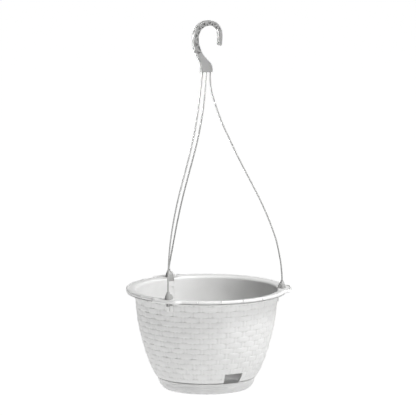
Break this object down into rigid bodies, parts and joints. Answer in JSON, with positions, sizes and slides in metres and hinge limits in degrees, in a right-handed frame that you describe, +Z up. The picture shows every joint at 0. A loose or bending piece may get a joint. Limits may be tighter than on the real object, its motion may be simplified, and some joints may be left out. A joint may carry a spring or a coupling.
{
  "type": "hanging plant basket",
  "caption": "Round woven-look hanging basket with a push-on saucer, a watering window, and plastic strands that clip into ears on its rim and meet in a ribbed hook",
  "frame": {"origin": "centre of the saucer's flat underside", "axes": "+Z up along the bowl's axis and the hook; -Y through the watering window; the hook is a plate in the X-Z plane and opens towards +X"},
  "size_m": [0.29, 0.299, 0.6685],
  "materials": {
    "hanger_plastic": "light grey moulded polypropylene, satin",
    "bowl_plastic": "off-white moulded polypropylene, satin, with a woven relief outside and a smooth inside",
    "saucer_plastic": "off-white moulded polypropylene, smooth satin"
  },
  "bodies": {
    "hanger": {"hook": "hanger_plastic"},
    "basket": {"strand_front_left": "hanger_plastic", "strand_back": "hanger_plastic", "strand_right": "hanger_plastic", "clip_front_left": "hanger_plastic", "clip_back": "hanger_plastic", "clip_right": "hanger_plastic", "pot": "bowl_plastic"},
    "saucer": {"saucer": "saucer_plastic"}
  },
  "joints": [
    {"name": "basket_swing", "type": "hinge", "parent": "hanger", "child": "basket", "pos_m": [0, 0, 0.57975], "axis": [1, 0, 0], "range_deg": [-12, 12]},
    {"name": "saucer_release", "type": "slide", "parent": "basket", "child": "saucer", "axis": [0, 0, -1], "range_m": [0, 0.04]}
  ]
}
